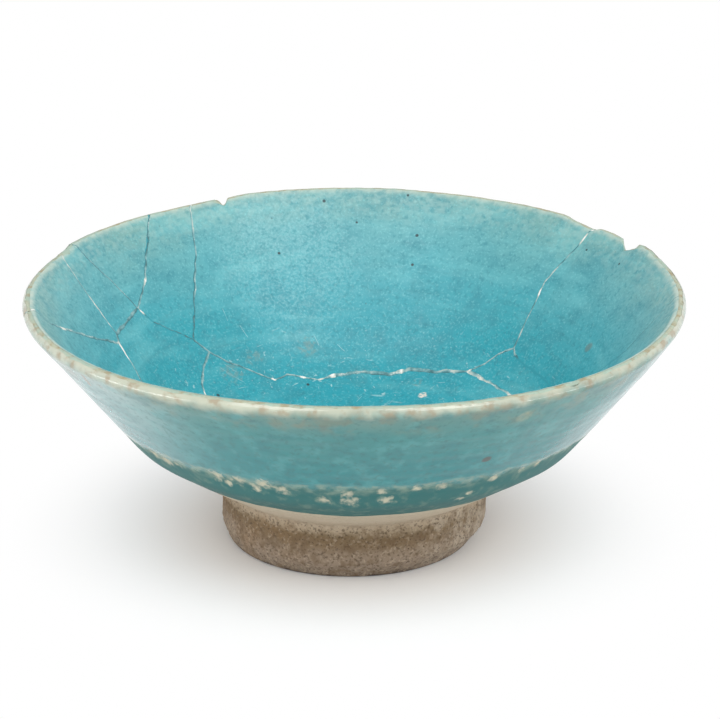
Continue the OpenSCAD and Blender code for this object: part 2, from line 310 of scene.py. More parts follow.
PAST_RIM = 1.06
left_junction = (149, 0.65)
ring_left_end = (138, 0.47)
ring_corner = (135, 0.41)
slant_foot = (162, 0.62)
side_foot = (164, 0.59)
ring_middle = (97, 0.21)
ring_right = (52, 0.30)
right_junction = (41, 0.44)
right_tail_end = (37.5, 0.41)
right_meeting = (2, 0.40)
base_right_end = (-8, 0.27)
base_left_end = (171, 0.22)
BREAKS = {
    "break_a": [(131.5, PAST_RIM), (133, 0.94), (136, 0.86), (142, 0.73), (147, 0.67), left_junction],
    "break_b": [(122, PAST_RIM), (124, 0.89), (126, 0.77), (130, 0.65), (134, 0.55), ring_left_end],
    "break_c": [(158.5, PAST_RIM), (160, 0.88), (161, 0.76), slant_foot],
    "break_d": [(155, PAST_RIM), (153.5, 0.88), (151, 0.77), left_junction],
    "break_e": [(191, PAST_RIM), (187, 0.87), (182, 0.79), (174, 0.69), side_foot],
    "break_f": [(38, PAST_RIM), (40, 0.88), (43, 0.71), (42, 0.54), right_junction],
    "break_g": [(-3, PAST_RIM), (-3, 0.82), (-4, 0.70), (0, 0.58), right_meeting],
    "ring_left": [left_junction, (147, 0.58), (143, 0.53), ring_left_end],
    "ring_step": [ring_left_end, ring_corner],
    "ring_back": [ring_corner, (131, 0.36), (125, 0.30), (118, 0.22), (113, 0.24), (103, 0.19), ring_middle],
    "ring_film": [ring_middle, (86, 0.23), (78, 0.22), (72, 0.26), (62, 0.27), ring_right],
    "ring_end": [ring_right, (48, 0.35), (45, 0.40), right_junction],
    "base_right": [ring_right, (47, 0.29), (40, 0.28), (28, 0.27), (10, 0.26), base_right_end],
    "base_front": [base_right_end, (-25, 0.24), (-55, 0.22), (-90, 0.21), (-125, 0.22), (-160, 0.22),
                   (base_left_end[0] - 360, base_left_end[1])],
    "base_left": [base_left_end, (158, 0.22), (147, 0.25), (144, 0.31), (140, 0.36), ring_corner],
    "left_short": [left_junction, (155, 0.63), slant_foot],
    "left_step": [slant_foot, side_foot],
    "left_low": [side_foot, (166, 0.50), (168, 0.44), (170, 0.33), base_left_end],
    "right_tail": [right_junction, (39.5, 0.42), right_tail_end],
    "right_low": [right_tail_end, (33, 0.40), (18, 0.39), right_meeting],
    "right_end": [right_meeting, (-3, 0.33), base_right_end],
}

# Lines round each sherd, in order. A minus sign runs a line backwards, and rim is the way along the lip.
SHERDS = {
    "back_wall": "-break_b rim break_f -ring_end -ring_film -ring_back -ring_step",
    "back_left": "-break_a rim break_b -ring_left",
    "left_upper": "-break_d rim break_a",
    "left_narrow": "-break_c rim break_d left_short",
    "left_side": "-break_e rim break_c left_step",
    "front_wall": "break_e left_low -base_front -right_end -break_g rim",
    "right_wall": "-break_g rim break_f right_tail right_low",
    "lower_left": "left_short left_step left_low base_left -ring_step -ring_left",
    "lower_right": "ring_end right_tail right_low right_end -base_right",
    "base_foot": "ring_back ring_film base_right base_front base_left",
}

# Lines along each run of adhesive
GLUES = {
    "ring_glue": "-left_low -left_step -left_short ring_left ring_step ring_back ring_film ring_end "
                 "right_tail right_low right_end",
    "base_glue": "-base_left -base_front -base_right",
    **{f"break_{letter}_glue": f"break_{letter}" for letter in "abcdefg"},
}


def reach_of(share):
    inner = FOOT_R + (GLAZE_EDGE_R - FOOT_R) * share / EDGE_SHARE
    outer = GLAZE_EDGE_R + (RIM_R - GLAZE_EDGE_R) * (share - EDGE_SHARE) / (1 - EDGE_SHARE)
    return np.where(share < EDGE_SHARE, inner, outer)


# How far a break wanders in long and in short waves, and how far from its ends that starts
WANDER = (0.11, 0.05)
WANDER_FROM = 3
FIRST_BREAK_SEED = 100


def plan_line(corners, seed):
    """Points of a break as seen from above, close together, with the small wander of a real fracture."""
    points = []
    for a, b in zip(corners, corners[1:]):
        ends = np.array([a, b], float)
        span = np.linalg.norm(reach_of(ends[1, 1]) * along(b[0]) - reach_of(ends[0, 1]) * along(a[0]))
        count = max(1, round(span / EDGE_STEP))
        steps = np.arange(count)[:, None] / count
        for angle, share in ends[0] + (ends[1] - ends[0]) * steps:
            points.append(reach_of(share) * along(angle))
    points.append(reach_of(corners[-1][1]) * along(corners[-1][0]))
    points = np.array(points)
    run = np.arange(len(points)) * EDGE_STEP
    fade = smooth(0, WANDER_FROM, run) * smooth(0, WANDER_FROM, run[::-1])
    wander = WANDER[0] * ripple(run[:, None], 3.2, seed) + WANDER[1] * ripple(run[:, None], 1.1, seed + 1)
    return points + left_of(unit(np.gradient(points, axis=0))) * (fade * wander)[:, None]


PLAN = {
    name: plan_line(corners, FIRST_BREAK_SEED + 2 * i) for i, (name, corners) in enumerate(BREAKS.items())
}


def run_of(name):
    return PLAN[name[1:]][::-1] if name.startswith("-") else PLAN[name]


def rim_run(start, stop):
    """Points along the rim from one break to the next, the short way round."""
    a, b = math.atan2(start[1], start[0]), math.atan2(stop[1], stop[0])
    turn = (b - a + math.pi) % (2 * math.pi) - math.pi
    steps = max(2, round(abs(turn) * RIM_R / EDGE_STEP))
    angles = a + turn * np.arange(steps + 1) / steps
    return flat_points(angles, np.linalg.norm(start))


def outline(names):
    """Closed plan outline of a sherd, counterclockwise."""
    names = names.split()
    points = []
    for i, name in enumerate(names):
        if name == "rim":
            run = rim_run(run_of(names[i - 1])[-1], run_of(names[(i + 1) % len(names)])[0])
        else:
            run = run_of(name)
        points.extend(run[:-1])
    points = np.array(points)
    x, y = points.T
    area = np.sum(x * np.roll(y, -1) - y * np.roll(x, -1))
    return points if area > 0 else points[::-1]


def distance_to(points, line):
    """Distance of each point from a closed line."""
    a, b = line, np.roll(line, -1, axis=0)
    best = np.full(len(points), np.inf)
    for first in range(0, len(points), CHUNK):
        p = points[first:first + CHUNK, None]
        t = np.clip(((p - a) * (b - a)).sum(2) / ((b - a) ** 2).sum(1), 0, 1)
        best[first:first + CHUNK] = np.linalg.norm(p - a - t[..., None] * (b - a), axis=2).min(1)
    return best


def within(points, line):
    """Whether each point lies inside a closed line."""
    x, y = line.T
    xn, yn = np.roll(x, -1), np.roll(y, -1)
    found = np.zeros(len(points), bool)
    for first in range(0, len(points), CHUNK):
        px, py = points[first:first + CHUNK].T[:, :, None]
        across = (y > py) != (yn > py)
        crossing = x + (py - y) * (xn - x) / np.where(yn == y, 1e-12, yn - y)
        found[first:first + CHUNK] = (across & (px < crossing)).sum(1) % 2 == 1
    return found


# Least share of the wanted gap that a point of an inset line keeps
LEAST_GAP = 0.93


def inset(points, gap):
    """Closed line moved inwards, without the points that a narrow tip has no room for."""
    ahead = unit(np.roll(points, -1, axis=0) - points)
    both = unit(ahead + np.roll(ahead, 1, axis=0))
    stretch = np.clip((both * ahead).sum(1), 0.5, 1)
    moved = points + left_of(both) * (gap / stretch)[:, None]
    return moved[distance_to(moved, points) > LEAST_GAP * gap]


def polar(points):
    return np.unwrap(np.arctan2(points[:, 1], points[:, 0])), np.linalg.norm(points, axis=1)


def clipped(theta, reach, bound, below):
    """Largest part of a closed line on one side of bound(theta), closed along that bound."""
    side = (bound(theta) - reach) * (1 if below else -1)
    if (side > 0).all():
        return theta, reach
    count = len(side)
    starts = [i for i in range(count) if side[i] > 0 and side[i - 1] <= 0]
    runs = []
    for start in starts:
        turn = np.roll(np.arange(count), -start)
        runs.append(turn[: np.argmax(side[turn] <= 0)])
    kept = max(runs, key=len)
    steps = np.concatenate([[kept[0] - 1], kept, [(kept[-1] + 1) % count]])
    angles = np.unwrap(theta[steps])
    reaches, sides = reach[steps].copy(), side[steps]
    for end, inner in ((0, 1), (-1, -2)):
        t = sides[inner] / (sides[inner] - sides[end])
        angles[end] = angles[inner] + t * (angles[end] - angles[inner])
        reaches[end] = bound(angles[end:][:1])[0]
    span = angles[0] - angles[-1]
    steps = max(2, round(abs(span) * reaches[0] / EDGE_STEP))
    arc = angles[-1] + span * np.arange(1, steps) / steps
    return np.concatenate([angles, arc]), np.concatenate([reaches, bound(arc)])


# Spacing of rows of staggered points and their distance from an edge, as shares of the step
ROW_SHARE = 0.87
EDGE_CLEAR = 0.45
# First ring round the axis, and how near two points count as one
AXIS_RING = 0.2
SAME_POINT = 1e-7


def rings(low, high, step_at):
    """Staggered points round the axis between two lengths along a face, each with its step."""
    found = []
    s, odd = low, 0
    while s < high:
        step = step_at(s)
        count = max(6, round(2 * math.pi * s / step))
        angles = (np.arange(count) + 0.5 * odd) * 2 * math.pi / count
        found.append(np.stack([s * np.cos(angles), s * np.sin(angles), np.full(count, step)], 1))
        s, odd = s + step * ROW_SHARE, 1 - odd
    return np.concatenate(found)


def patch(face, theta, reach, step_at):
    """Triangles over an outline on a face. The outline's own points come first, in order."""
    s = face.length_at(reach)
    edge = flat_points(theta, s)
    low = AXIS_RING if within(np.zeros((1, 2)), edge)[0] else s.min()
    points = rings(low, s.max(), step_at)
    points = points[((points[:, :2] > edge.min(0)) & (points[:, :2] < edge.max(0))).all(1)]
    points = points[within(points[:, :2], edge)]
    flat, steps = points[:, :2], points[:, 2]
    flat = flat[distance_to(flat, edge) > EDGE_CLEAR * np.minimum(steps, 2)]
    every = np.concatenate([edge, flat])
    _, _, faces, sources, _, _ = delaunay_2d_cdt(
        [Vector(p) for p in every], [], [list(range(len(edge)))], 1, SAME_POINT)
    lookup = [ids[0] if ids else -1 for ids in sources]
    if min(lookup) < 0:
        raise RuntimeError("an outline crosses itself")
    triangles = np.array([[lookup[v] for v in f] for f in faces])
    return np.arctan2(every[:, 1], every[:, 0]), np.linalg.norm(every, axis=1), triangles


# Edges that turn by more degrees than this are shown sharp
SHARP_TURN = 40


def new_piece(name, points, faces, slot):
    """A mesh piece of the bowl that stands for the solid of the same name."""
    mesh = bpy.data.meshes.new(name)
    mesh.from_pydata((np.asarray(points) * MM).tolist(), [], [list(map(int, f)) for f in faces])
    mesh.validate()
    mesh.polygons.foreach_set("use_smooth", [True] * len(mesh.polygons))
    mesh.set_sharp_from_angle(angle=math.radians(SHARP_TURN))
    piece = bpy.data.objects.new(f"{name}_finish", mesh)
    bpy.context.scene.collection.objects.link(piece)
    mesh.materials.append(FINISHES[slot])
    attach(piece, "root")
    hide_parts(name)
    return piece


def attribute(piece, name, values):
    layer = piece.data.attributes.new(name, "FLOAT", "POINT")
    layer.data.foreach_set("value", np.asarray(values, np.float32))


# Edges of the glaze, as a reach by angle

def drawn_back(below, chipped, depth):
    """How far down from the top of the lip the glaze ends, at a chip of some depth or beside it."""
    return below + np.maximum(chipped - below, 0) * smooth(0, 0.4, depth)


def inner_glaze_top(theta):
    """The glaze reaches almost to the top of the lip, and draws back below each chip."""
    ring = flat_points(theta, RIM_R)
    below = 0.22 + 0.42 * smooth(0, 1, np.sin(theta))
    below = below + 0.08 * ripple(ring, 5, 21) + 0.06 * ripple(ring, 1.6, 22)
    depth = chip_depth(theta, 0)
    arc = LIP_R * math.radians(INNER_SLOPE)
    chipped = arc + 0.1 + np.maximum(depth - 0.5, 0) / math.sin(math.radians(INNER_SLOPE))
    return inside.reach_at(inside.s[-1] - drawn_back(below, chipped, depth))


def outer_glaze_top(theta):
    ring = flat_points(theta, RIM_R)
    below = 1.0 + 0.2 * ripple(ring, 6, 23) + 0.12 * ripple(ring, 1.8, 24)
    depth = chip_depth(theta, 2 * LIP_R)
    fallen = depth + chip_fall(depth) * 2 * LIP_R
    chipped = LIP_R * np.arccos(np.clip(1 - (fallen + 0.2) / LIP_R, -1, 1))
    chipped = chipped + np.maximum(fallen - 2 * LIP_R, 0)
    return outside.reach_at(outside.s[-1] - drawn_back(below, chipped, depth))


def outer_glaze_low(theta):
    ring = flat_points(theta, GLAZE_EDGE_R)
    front = smooth(-0.2, 0.6, -np.sin(theta))
    edge = GLAZE_EDGE_R + 0.55 - 1.6 * front
    return edge + 0.28 * ripple(ring, 6, 25) + 0.16 * ripple(ring, 2, 26)


def lip_top(theta):
    return np.full(len(theta), float(TOP_REACH))


def glaze_depth(face, theta, s):
    """Thickness of the glaze, which thins out to nothing towards its edges."""
    if face is inside:
        return GLAZE_T * smooth(0, 2.0, inside.length_at(inner_glaze_top(theta)) - s)
    below = smooth(0, 1.5, outside.length_at(outer_glaze_top(theta)) - s)
    return GLAZE_T * below * smooth(0, 2.0, s - outside.length_at(outer_glaze_low(theta)))


# Places where the outer glaze is rubbed through to the body below the carination: angle, reach, size
WORN = [
    (-142, 67, 2.6), (-138, 66.5, 2.6), (-134, 67, 1.6), (-122, 67.5, 3.0), (-120, 66, 1.8),
    (-116.5, 67.3, 2.4), (-112.5, 66, 2.6), (-110.5, 67.5, 2.8), (-106.5, 66.5, 2.6), (-97, 64, 2.4),
    (-91.5, 66.4, 2.2), (-91, 64, 3.0), (-84, 67, 1.8), (-82.5, 64.2, 2.6), (-76, 67.4, 2.2),
    (-70.5, 67.7, 2.4), (-63, 61.5, 2.0), (-62, 63.5, 1.6), (-57.5, 67.3, 1.9), (-50, 67.4, 1.7),
    (-44.5, 67.6, 1.7), (-20, 67.5, 2.6), (10, 66.5, 2.8), (33, 67.5, 2.4), (58, 66.8, 3.2), (64, 67.5, 2.0),
    (95, 67.3, 3.0), (118, 66.2, 2.6), (140, 67.6, 2.8), (166, 66.8, 2.4), (-168, 67.4, 3.0),
]
# Reach of the band that they lie in, how each spreads and is flattened, and its depth
WORN_BAND = (60, 70)
WORN_SPREAD = 1.4
WORN_FLAT = 1.5
WORN_DEPTH = 0.25
# How far the glaze stands proud and the body keeps clear below it, and how far down the lip's mesh is fine
GLAZE_PROUD = 0.03
BODY_CLEAR = 0.06
LIP_FINE = 5


def worn(theta, reach):
    found = np.zeros(len(theta))
    for angle, at, size in WORN:
        turn = (theta - math.radians(angle) + math.pi) % (2 * math.pi) - math.pi
        away = np.hypot(turn * at, (reach - at) * WORN_FLAT)
        found = np.maximum(found, 1 - away / (WORN_SPREAD * size))
    return found


def glazed(name, face, sherd, slot):
    """A coat of glaze on one face of a sherd: a thin closed shell."""
    theta, reach = sherd
    if face is inside:
        theta, reach = clipped(theta, reach, inner_glaze_top, True)
    else:
        theta, reach = clipped(theta, reach, outer_glaze_top, True)
        theta, reach = clipped(theta, reach, outer_glaze_low, False)
    count = len(theta)
    wear_from, wear_to = outside.length_at(WORN_BAND)

    def top_step(s):
        on_lip = s > face.s[-1] - LIP_FINE
        rubbed = face is outside and wear_from < s < wear_to
        return FINE_STEP if on_lip or rubbed else SHOWN_STEP

    top_theta, top_s, top = patch(face, theta, reach, top_step)
    low_theta, low_s, low = patch(face, theta, reach, lambda s: HIDDEN_STEP)
    wear = worn(top_theta, face.reach_at(top_s)) if face is outside else np.zeros(len(top_theta))
    above = face.place(top_theta, top_s, GLAZE_PROUD - WORN_DEPTH * wear)
    under = face.place(low_theta, low_s, -glaze_depth(face, low_theta, low_s))
    shift = len(above)
    ahead = [(i + 1) % count for i in range(count)]
    sides = [(i, i + shift, ahead[i] + shift, ahead[i]) for i in range(count)]
    faces = [*top, *(low[:, ::-1] + shift), *sides]
    if face is outside:
        faces = [f[::-1] for f in faces]
    piece = new_piece(name, np.concatenate([above, under]), faces, slot)
    attribute(piece, "wear", np.concatenate([wear, np.zeros(len(under))]))
    attribute(piece, "from_lip", face.s[-1] - np.concatenate([top_s, low_s]))


# Where the body shows: reach on the lip inside and outside, and distance past the lower edge of the glaze
BARE_INSIDE = 85
BARE_OUTSIDE = 89.3
BARE_BELOW = 2


def bare(name, sherd, slot):
    """The body of a sherd, from its inner face over the lip or round the foot to its outer face."""
    theta, reach = clipped(*sherd, lip_top, True)
    count = len(theta)

    def inner_step(s):
        return FINE_STEP if s > inside.length_at(BARE_INSIDE) else HIDDEN_STEP

    def outer_step(s):
        lip, under = outside.length_at([BARE_OUTSIDE, GLAZE_EDGE_R + BARE_BELOW])
        return FINE_STEP if s > lip or s < under else HIDDEN_STEP

    in_theta, in_s, top = patch(inside, theta, reach, inner_step)
    out_theta, out_s, low = patch(outside, theta, reach, outer_step)
    sunk = glaze_depth(inside, in_theta, in_s)
    inner = inside.place(in_theta, in_s, -sunk - BODY_CLEAR * (sunk > 0))
    sunk = glaze_depth(outside, out_theta, out_s)
    outer = outside.place(out_theta, out_s, -sunk - BODY_CLEAR * (sunk > 0) + grit(out_theta, out_s))
    shift = len(inner)
    on_lip = reach > TOP_REACH - 1e-6
    index = np.arange(len(outer)) + shift
    index[:count][on_lip] = np.arange(count)[on_lip]
    walls = []
    for i in range(count):
        k = (i + 1) % count
        ring = [i, index[i], index[k], k]
        ring = [v for j, v in enumerate(ring) if v != ring[j - 1]]
        if len(ring) > 2:
            walls.append(ring)
    faces = [*top, *index[low[:, ::-1]], *walls]
    used = np.unique(np.concatenate([np.ravel(f) for f in faces]))
    renumber = np.zeros(shift + len(outer), int)
    renumber[used] = np.arange(len(used))
    points = np.concatenate([inner, outer])[used]
    new_piece(name, points, [[renumber[v] for v in f] for f in faces], slot)


# Reach between which the grit of the foot goes over into the smoother underside
GRIT_FADES = (40, 46)


def grit(theta, s):
    """Coarse turned surface of the bare foot, which is even where it stands."""
    on_foot = 1 - smooth(*outside.length_at(GRIT_FADES), s)
    flat = flat_points(theta, s)
    clear = smooth(0.2, 2.0, np.interp(s, outside.s, outside.z))
    return on_foot * clear * (0.10 * ripple(flat, 3.0, 31) + 0.07 * ripple(flat, 1.1, 32) - 0.1)


# Half width of the adhesive that shows, and how white it is, at both ends of each break
GLUE_LOOKS = {
    "break_a": ((0.36, 0.16), (0.21, 0.42)), "break_b": ((0.23, 0.66), (0.34, 0.10)),
    "break_c": ((0.30, 0.74), (0.24, 0.58)), "break_d": ((0.22, 0.30), (0.22, 0.44)),
    "break_e": ((0.30, 0.42), (0.34, 0.42)), "break_f": ((0.22, 0.34), (0.22, 0.52)),
    "break_g": ((0.22, 0.45), (0.22, -0.2)), "ring_left": ((0.21, 0.06), (0.24, 0.08)),
    "ring_step": ((0.34, 0.34), (0.34, 0.34)), "ring_back": ((0.22, 0.36), (0.24, 0.52)),
    "ring_film": ((0.56, 0.41), (0.47, 0.41)), "ring_end": ((0.21, 0.42), (0.21, 0.42)),
    "left_short": ((0.36, 0.36), (0.38, 0.36)), "left_step": ((0.30, 0.60), (0.30, 0.70)),
    "left_low": ((0.24, 0.42), (0.21, 0.36)), "base_left": ((0.22, 0.50), (0.30, 0.32)),
    "base_right": ((0.38, 0.72), (0.30, 0.60)), "base_front": ((0.24, 0.15), (0.24, 0.15)),
    "right_tail": ((0.21, 0.54), (0.21, 0.50)), "right_low": ((0.22, -0.4), (0.22, -0.4)),
    "right_end": ((0.22, -0.4), (0.22, -0.4)),
}

# White lumps of filler: angle, reach, size
GLUE_SPOTS = [
    (148.5, 70.5, 1.3), (164.5, 66.5, 2.6), (145.5, 50.5, 1.4), (39.3, 85.3, 1.7), (38.5, 88.5, 1.3),
    (182.5, 79, 1.5), (142, 75.5, 0.9), (118.5, 48.5, 1.0), (102, 47, 0.8), (97.5, 48, 1.1), (108, 48, 0.8),
    (74, 49.5, 0.7), (52, 53.5, 1.0), (189.5, 88, 2.2), (44, 66, 1.0), (43, 72, 0.8),
]


def spots(points):
    found = np.zeros(len(points))
    for angle, reach, size in GLUE_SPOTS:
        away = np.linalg.norm(points - reach * along(angle), axis=1)
        found = np.maximum(found, 1 - smooth(0.4 * size, size, away))
    return found


def look_along(name, count):
    """Half width and whiteness of the adhesive at each point along a break."""
    start, stop = np.array(GLUE_LOOKS[name.lstrip("-")])
    look = start + (stop - start) * np.linspace(0, 1, count)[:, None]
    return look[::-1] if name.startswith("-") else look


# Points that the look of the adhesive is averaged over, and how far short of the top of the lip it ends
EVEN_POINTS = 7
GLUE_BELOW = 0.15
# Loops along a bead on one face: place across it, with its edges at -1 and 1, and lift
BEAD_LOOPS = ((-0.5, -0.4), (-1, 0.03), (0, 0.06), (1, 0.03), (0.5, -0.4))
# How much a lump swells a bead, and how much its edges differ in whiteness: one edge is darkened as painted
# shade, the other whitened in places as a painted highlight
LUMP_SWELL = 0.08
EDGE_SHADE_AND_HIGHLIGHT = 0.25


def evened(values):
    """Values along a line, averaged over their neighbours."""
    padded = np.pad(values, EVEN_POINTS // 2, mode="edge")
    return np.convolve(padded, np.ones(EVEN_POINTS) / EVEN_POINTS, mode="valid")


def bead(name, names, slot):
    """A run of adhesive that fills a break through the wall and stands a little proud on both faces."""
    names = names.split()
    runs = [run_of(n) for n in names]
    looks = [look_along(n, len(r)) for n, r in zip(names, runs)]
    line = np.concatenate([r[:-1] for r in runs] + [runs[-1][-1:]])
    look = np.concatenate([k[:-1] for k in looks] + [looks[-1][-1:]])
    low = np.linalg.norm(line, axis=1) < TOP_REACH - GLUE_BELOW
    line, (half, white) = line[low], look[low].T
    half, white = evened(half), evened(white)
    across = left_of(unit(np.gradient(line, axis=0)))
    lump = spots(line)
    half = half * (1 + 0.30 * ripple(line, 4, 41) + 0.25 * ripple(line, 1.3, 42)) + LUMP_SWELL * lump
    half = np.maximum(half, GLUE_W / 2 + 0.01)
    white = np.minimum(white * (1 + 0.3 * ripple(line, 5, 43) + 0.2 * ripple(line, 1.5, 44)) + lump, 1)
    loops, sides = [], []
    for face, section in ((inside, BEAD_LOOPS), (outside, BEAD_LOOPS[::-1])):
        for side, lift in section:
            sides.append(side)
            offset = side * (half if abs(side) == 1 else GLUE_W)
            theta, reach = polar(line + across * np.broadcast_to(offset, len(line))[:, None])
            crown = lift + (LUMP_SWELL * lump if side == 0 else 0)
            s = face.length_at(np.minimum(reach, TOP_REACH))
            loops.append(face.place(theta, s, np.broadcast_to(crown, len(line))))
    ring = np.stack(loops, 1)
    count, size = ring.shape[:2]
    faces = [
        (i * size + k, i * size + (k + 1) % size, (i + 1) * size + (k + 1) % size, (i + 1) * size + k)
        for i in range(count - 1) for k in range(size)
    ]
    faces += [tuple(range(size))[::-1], tuple((count - 1) * size + k for k in range(size))]
    piece = new_piece(name, ring.reshape(-1, 3), faces, slot)
    white = np.repeat(white[:, None], size, axis=1)
    # Painted shade along one edge of the bead, and painted highlights in places along the other
    white[:, np.equal(sides, -1)] -= EDGE_SHADE_AND_HIGHLIGHT
    white[:, np.equal(sides, 1)] += EDGE_SHADE_AND_HIGHLIGHT * np.maximum(ripple(line, 6, 45), 0)[:, None]
    attribute(piece, "white", white.ravel())
    on_body = np.zeros((count, size))
    on_body[:, len(BEAD_LOOPS):] = (np.linalg.norm(line, axis=1) < GLAZE_EDGE_R)[:, None]
    attribute(piece, "on_body", on_body.ravel())


# Materials

# How far apart the patterns of two seeds lie, for clouds and for dots
CLOUD_SEED_STEP = 7.3
DOT_SEED_STEP = 3.1


def srgb(red, green, blue):
    """Colour from its values on a screen, 0 to 255."""
    scaled = [v / 255 for v in (red, green, blue)]
    return [v / 12.92 if v <= 0.04045 else ((v + 0.055) / 1.055) ** 2.4 for v in scaled]


def spot(angle, reach, face):
    """Place on a face of the bowl, in metres."""
    s = face.length_at(np.array([reach], float))
    return Vector(face.place(np.array([math.radians(angle)]), s, np.zeros(1))[0] * MM)


class Nodes:
    """A node tree under construction, with short names for the nodes that it needs."""

    def __init__(self, tree):
        self.tree = tree

    def node(self, kind, inputs=None, **settings):
        """A new node with some of its inputs fed, by name or number."""
        made = self.tree.nodes.new(f"ShaderNode{kind}")
        for key, value in settings.items():
            setattr(made, key, value)
        for key, value in (inputs or {}).items():
            self.feed(made.inputs[key], value)
        return made

    def feed(self, socket, value):
        if isinstance(value, bpy.types.NodeSocket):
            self.tree.links.new(value, socket)
        elif socket.type == "RGBA":
            socket.default_value = (*value, 1)
        else:
            socket.default_value = value

    def math(self, operation, first, *others):
        for other in others:
            first = self.node("Math", {0: first, 1: other}, operation=operation).outputs[0]
        return first

    def times(self, *values):
        return self.math("MULTIPLY", *values)

    def plus(self, *values):
        return self.math("ADD", *values)

    def most_of(self, *values):
        return self.math("MAXIMUM", *values)

    def span(self, value, low, high, to_low=0.0, to_high=1.0, ease="SMOOTHSTEP"):
        """Value from low to high, eased onto to_low to to_high."""
        inputs = {"Value": value, "From Min": low, "From Max": high, "To Min": to_low, "To Max": to_high}
        return self.node("MapRange", inputs, interpolation_type=ease).outputs["Result"]

    def vector(self, operation, a, b):
        return self.node("VectorMath", {0: a, 1: b}, operation=operation).outputs

    def parts(self, vector):
        """X, Y and Z of a vector."""
        return self.node("SeparateXYZ", {0: vector}).outputs


class Finish(Nodes):
    """A material under construction, and its colour so far."""

    def __init__(self, name):
        self.material = bpy.data.materials.new(name)
        self.material.use_nodes = True
        super().__init__(self.material.node_tree)
        self.shader = self.tree.nodes["Principled BSDF"]
        self.place = self.node("TexCoord").outputs["Object"]
        self.colour = None

    def noise(self, size, detail, seed, stretch=None, turn=0):
        """Cloudy pattern with lumps of about a size in millimetres, longer by stretch, turned about Z."""
        where = self.place
        if stretch:
            inputs = {"Vector": where, "Scale": stretch, "Rotation": (0, 0, math.radians(turn))}
            where = self.node("Mapping", inputs, vector_type="TEXTURE").outputs["Vector"]
        inputs = {"Vector": where, "W": seed * CLOUD_SEED_STEP, "Scale": 0.5 / (size * MM), "Detail": detail}
        return self.node("TexNoise", inputs, noise_dimensions="4D").outputs["Fac"]

    def patches(self, low, high, most, *cloud):
        """Irregular patches: 0 where a cloudy pattern is below low, rising to most where it is above high."""
        return self.span(self.noise(*cloud), low, high, 0, most)

    def uneven(self, least, most, *cloud):
        """Cloudy pattern between two values."""
        return self.span(self.noise(*cloud), 0.3, 0.7, least, most)

    def dots(self, spacing, radius, share, seed=0):
        """Round dots about spacing apart, in a share of the places, as 1 on a dot and 0 off it."""
        inputs = {"Vector": self.place, "W": seed * DOT_SEED_STEP, "Scale": 1 / (spacing * MM)}
        cells = self.node("TexVoronoi", inputs, voronoi_dimensions="4D").outputs
        dot = self.span(cells["Distance"], radius / spacing, 0.4 * radius / spacing)
        chance = self.node("SeparateColor", {"Color": cells["Color"]}).outputs["Red"]
        return self.times(dot, self.math("LESS_THAN", chance, share))

    def attribute(self, name):
        return self.node("Attribute", attribute_name=name).outputs["Fac"]

    def height(self):
        """Height over the table, in millimetres."""
        return self.times(self.parts(self.place)["Z"], 1 / MM)

    def near(self, angle, reach, face, size):
        """1 within a spot on a face, fading to 0 at its size in millimetres."""
        away = self.vector("DISTANCE", self.place, spot(angle, reach, face))["Value"]
        return self.span(away, size * MM, 0.5 * size * MM)

    def line(self, start, stop, face, width):
        """1 on a straight scratch between two places on a face, 0 beside it."""
        a, b = spot(*start, face), spot(*stop, face)
        from_a = self.vector("SUBTRACT", self.place, a)[0]
        share = self.vector("DOT_PRODUCT", from_a, (b - a) / (b - a).length_squared)["Value"]
        share = self.math("MINIMUM", self.most_of(share, 0), 1)
        nearest = self.node("VectorMath", {0: b - a, "Scale": share}, operation="SCALE").outputs[0]
        return self.span(self.vector("DISTANCE", from_a, nearest)["Value"], width * MM, 0.4 * width * MM)

    def ramp(self, value, stops):
        """Start with colours by value, from (value, screen colour) pairs with values of 0 to 1."""
        made = self.node("ValToRGB", {"Fac": value})
        ends = made.color_ramp.elements
        while len(ends) < len(stops):
            ends.new(0.5)
        for end, (at, colour) in zip(ends, stops):
            end.position = at
            end.color = (*srgb(*colour), 1)
        self.colour = made.outputs["Color"]

    def paint(self, colour, *shares):
        """Lay a screen colour over the colour so far, by the product of some shares."""
        made = self.node("Mix", {"Factor": self.times(*shares)}, data_type="RGBA")
        first, second = [socket for socket in made.inputs if socket.type == "RGBA"]
        self.feed(first, self.colour)
        self.feed(second, srgb(*colour))
        self.colour = next(socket for socket in made.outputs if socket.type == "RGBA")

    def bump(self, height, strength, distance):
        made = self.node("Bump", {"Strength": strength, "Distance": distance * MM, "Height": height})
        self.feed(self.shader.inputs["Normal"], made.outputs["Normal"])

    def done(self, roughness):
        self.feed(self.shader.inputs["Base Color"], self.colour)
        self.feed(self.shader.inputs["Roughness"], roughness)
        return self.material


INNER_GLAZE_IOR = 1.6

# Dark specks in the inner glaze: angle, reach, size
SPECKS = [
    (96, 85, 0.65), (76.5, 78.5, 0.65), (107, 75, 0.55), (76.5, 72.5, 0.55), (79.5, 86.5, 0.5),
    (89.5, 80.5, 0.45), (107, 45.5, 0.6), (142, 49, 0.7), (37, 83, 0.45), (26, 83, 0.5), (-93, 88.5, 0.6),
]
# Grey rubbed marks in the inner glaze: angle, reach, size
GREY_MARKS = [(104, 56, 4.0), (121.5, 55, 3.5), (67.5, 47, 1.8), (131, 53, 5.0)]
# Long pale scratches in the inner glaze: angle and reach at both ends
SCRATCHES = [
    ((95, 56), (93, 54.5)), ((101.5, 58), (100.5, 56)), ((103.5, 44.5), (102.5, 35.5)),
    ((89, 37.5), (87, 40)), ((122, 62), (121, 59.5)), ((125, 66), (125, 63.5)), ((134, 55), (130, 51)),
    ((133, 53.5), (129, 50)), ((132, 55.5), (129.5, 53)),
]
SCRATCH_W = 0.12
# Directions of the fine scratches in degrees
SCRATCH_TURNS = (15, 75, 130)


